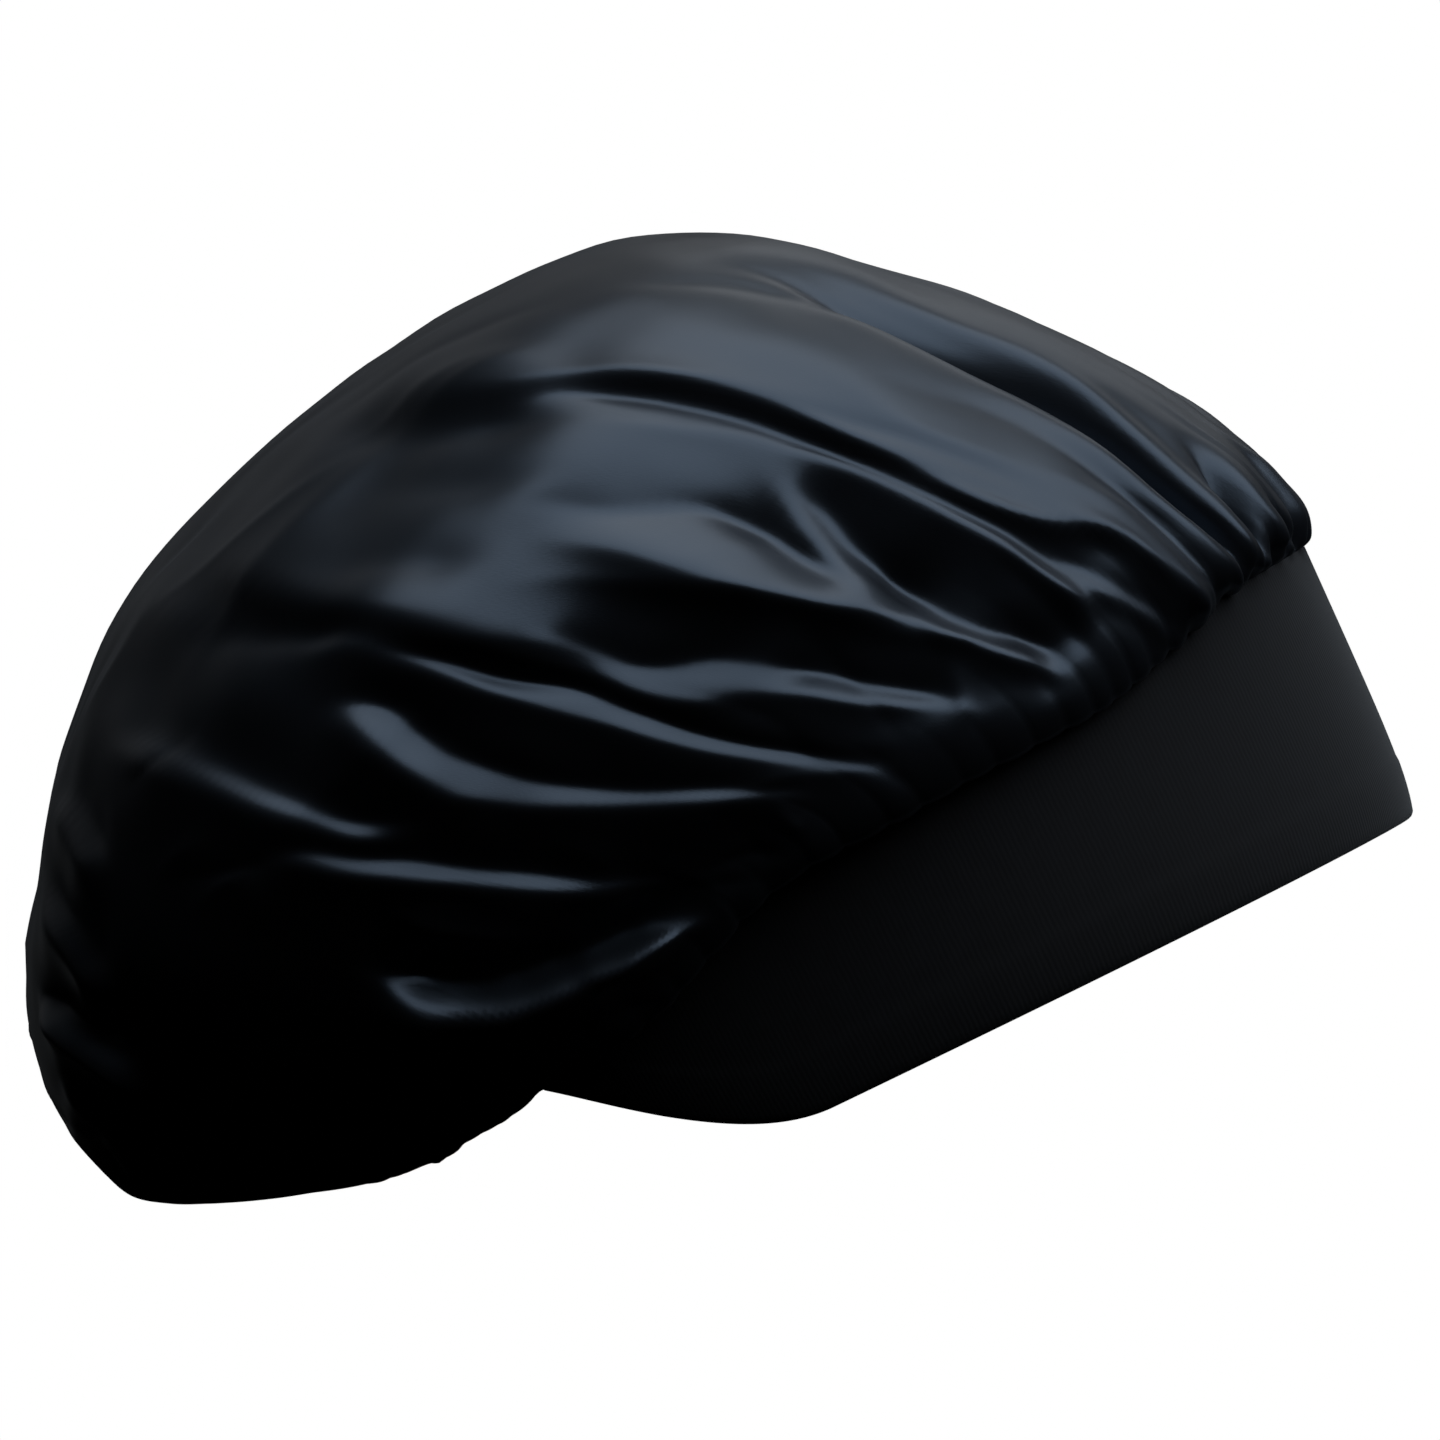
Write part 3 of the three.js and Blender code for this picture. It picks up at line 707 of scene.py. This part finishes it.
def addRelief(nodes, links, pattern, relief):
    # a pattern's value stands up from the surface as a bump
    bump = nodes.new("ShaderNodeBump")
    setInputs(bump, relief)
    links.new(pattern.outputs["Fac"], bump.inputs["Height"])
    links.new(bump.outputs["Normal"], nodes["Principled BSDF"].inputs["Normal"])


satinFinish = {
    "shader": {
        "Specular IOR Level": 0.7,
        "Specular Tint": (0.56, 0.74, 1.0, 1.0),
        "Anisotropic": 0.35,
        "Sheen Weight": 0.02,
        "Sheen Roughness": 0.35,
        "Sheen Tint": (0.75, 0.86, 1.0, 1.0),
    },
    "patches": {"Scale": 22, "Detail": 3},  # dye and wear vary slowly over the cloth
    "tones": ((0.0042, 0.0048, 0.0062, 1), (0.0085, 0.0095, 0.0120, 1)),
    "roughness": {"To Min": 0.30, "To Max": 0.42},
    "threads": {"Scale": (5200, 700, 1)},   # long floats run from the seam to the back
    "floats": {"Scale": 1, "Detail": 2},
    "relief": {"Strength": 0.10, "Distance": 0.0002},
}


def satinMaterial():
    # a glossy cloth, with a noise drawn out along the threads for its weave
    material, nodes, links, place = clothMaterial("black_satin", satinFinish)
    threads = nodes.new("ShaderNodeMapping")
    setInputs(threads, satinFinish["threads"])
    links.new(place.outputs["UV"], threads.inputs["Vector"])
    floats = nodes.new("ShaderNodeTexNoise")
    setInputs(floats, satinFinish["floats"])
    links.new(threads.outputs["Vector"], floats.inputs["Vector"])
    addRelief(nodes, links, floats, satinFinish["relief"])
    return material


jerseyFinish = {
    "shader": {
        "Specular IOR Level": 0.18,
        "Sheen Weight": 0.15,
        "Sheen Roughness": 0.5,
        "Sheen Tint": (0.85, 0.92, 1.0, 1.0),
    },
    "patches": {"Scale": 260, "Detail": 4},      # fuzz
    "tones": ((0.0041, 0.0046, 0.0060, 1), (0.0098, 0.0110, 0.0138, 1)),
    "roughness": {"To Min": 0.78, "To Max": 0.95},
    "ribs": {"Scale": 330, "Distortion": 1.5},  # knit wales stand square to the band's edge
    "relief": {"Strength": 0.12, "Distance": 0.0003},
}


def jerseyMaterial():
    # a matt cloth, with sine ribs for its knit
    material, nodes, links, place = clothMaterial("black_jersey", jerseyFinish)
    ribs = nodes.new("ShaderNodeTexWave")
    ribs.wave_profile = "SIN"
    setInputs(ribs, jerseyFinish["ribs"])
    links.new(place.outputs["UV"], ribs.inputs["Vector"])
    addRelief(nodes, links, ribs, jerseyFinish["relief"])
    return material


studio = {
    "cameraDistance": 8.0,
    "sensorWidth": 36,
    "frameWidth": 0.288,     # width of the picture at the bonnet's middle
    "frameMiddle": (0.0, 0.049, 0.0626),
    "lamps": {  # place, what it points at, width and height, power
        "softbox": ((-0.27, -0.254, 0.95), (-0.09, 0.095, 0.05), (1.2, 1.7), 12.8),
        "strip": ((0.80, -0.22, 0.75), (0, -0.02, 0.12), (0.6, 0.4), 0.45),   # for the edge over the forehead
        "glimmer": ((1.0, 0.57, 0.08), (0, 0.17, 0.05), (0.35, 0.6), 0.035),  # for the edge of the back
    },
    "lampColour": (0.93, 0.97, 1.0),
    "floorHeight": -0.30,
    "floorReach": 8.0,
    "roomGlow": 0.003,
    "backdropGlow": 0.17,    # of a dim white sheet behind the bonnet
    "backdropEdge": 0.2,     # where it begins, as a direction's part away from the camera
    "backdropRise": {"From Min": 0.08, "From Max": 0.5},  # and how it brightens upwards
}


def aim(holder, place, target):
    # turn a light or camera so that it looks from its place to a target
    holder.location = place
    holder.rotation_euler = (Vector(target) - Vector(place)).to_track_quat("-Z", "Y").to_euler()


def addToScene(name, data):
    # an object that holds the data, linked into the scene
    holder = bpy.data.objects.new(name, data)
    bpy.context.scene.collection.objects.link(holder)
    return holder


def makeCamera():
    # far off on the wearer's right, with a lens long enough to fill the picture from there
    scene = bpy.context.scene
    scene.view_settings.view_transform = "Standard"
    middle = studio["frameMiddle"]
    lens = bpy.data.cameras.new("camera")
    lens.sensor_width = studio["sensorWidth"]
    lens.lens = lens.sensor_width * studio["cameraDistance"] / studio["frameWidth"]
    scene.camera = addToScene("camera", lens)
    aim(scene.camera, (middle[0] - studio["cameraDistance"], middle[1], middle[2]), middle)


def makeLamps():
    # flat lamps that the camera itself doesn't see
    for name, (place, target, size, power) in studio["lamps"].items():
        light = bpy.data.lights.new(name, "AREA")
        light.shape = "RECTANGLE"
        light.size, light.size_y = size
        light.energy = power
        light.color = studio["lampColour"]
        lamp = addToScene(name, light)
        lamp.visible_camera = False
        aim(lamp, place, target)


def makeFloor():
    # one glowing white square
    reach, level = studio["floorReach"], studio["floorHeight"]
    corners = [(-reach, -reach, level), (reach, -reach, level), (reach, reach, level), (-reach, reach, level)]
    mesh = bpy.data.meshes.new("floor")
    mesh.from_pydata(corners, [], [(0, 1, 2, 3)])
    paper, nodes, links = newMaterial("white_paper")
    glow = nodes.new("ShaderNodeEmission")
    links.new(glow.outputs["Emission"], nodes["Material Output"].inputs["Surface"])
    mesh.materials.append(paper)
    floor = addToScene("floor", mesh)
    floor.visible_diffuse = False  # a far floor throws no light up into the bag
    floor.visible_glossy = False


def makeRoom():
    # white to the camera, and to the cloth a dark room with a dim sheet behind the bonnet:
    # its glow is a ramp away from the camera times a ramp upwards
    world = bpy.data.worlds.new("room")
    bpy.context.scene.world = world
    world.use_nodes = True
    nodes, links = world.node_tree.nodes, world.node_tree.links
    backdrop = nodes["Background"]
    setInputs(backdrop, {"Color": (1, 1, 1, 1), "Strength": 1.0})
    room = nodes.new("ShaderNodeBackground")
    setInputs(room, {"Color": (1, 1, 1, 1)})
    direction = nodes.new("ShaderNodeTexCoord")
    sides = nodes.new("ShaderNodeSeparateXYZ")
    links.new(direction.outputs["Generated"], sides.inputs["Vector"])
    away = nodes.new("ShaderNodeMapRange")
    away.interpolation_type = "SMOOTHSTEP"
    setInputs(away, {"From Min": studio["backdropEdge"], "To Min": studio["roomGlow"],
                     "To Max": studio["backdropGlow"]})
    links.new(sides.outputs["X"], away.inputs["Value"])
    above = nodes.new("ShaderNodeMapRange")
    above.interpolation_type = "SMOOTHSTEP"
    setInputs(above, studio["backdropRise"])
    links.new(sides.outputs["Z"], above.inputs["Value"])
    glow = nodes.new("ShaderNodeMath")
    glow.operation = "MULTIPLY"
    links.new(away.outputs["Result"], glow.inputs[0])
    links.new(above.outputs["Result"], glow.inputs[1])
    links.new(glow.outputs["Value"], room.inputs["Strength"])
    rays = nodes.new("ShaderNodeLightPath")
    mix = nodes.new("ShaderNodeMixShader")
    links.new(rays.outputs["Is Camera Ray"], mix.inputs["Fac"])
    links.new(room.outputs["Background"], mix.inputs[1])
    links.new(backdrop.outputs["Background"], mix.inputs[2])
    links.new(mix.outputs["Shader"], nodes["World Output"].inputs["Surface"])


def dress(piece, node, material):
    # a piece stands in for a CAD node: it takes its material, hangs from the root body, and the node is
    # hidden
    piece.data.materials.append(material)
    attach(piece, "root")
    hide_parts(node)


satin = makeCrown()
dress(satin, "crown", satinMaterial())
print("satin bag:", len(satin.data.polygons), "faces")

jersey = makeBand()
dress(jersey, "front_band", jerseyMaterial())
print("jersey band:", len(jersey.data.polygons), "faces")

makeCamera()
makeLamps()
makeFloor()
makeRoom()
print("studio lit")
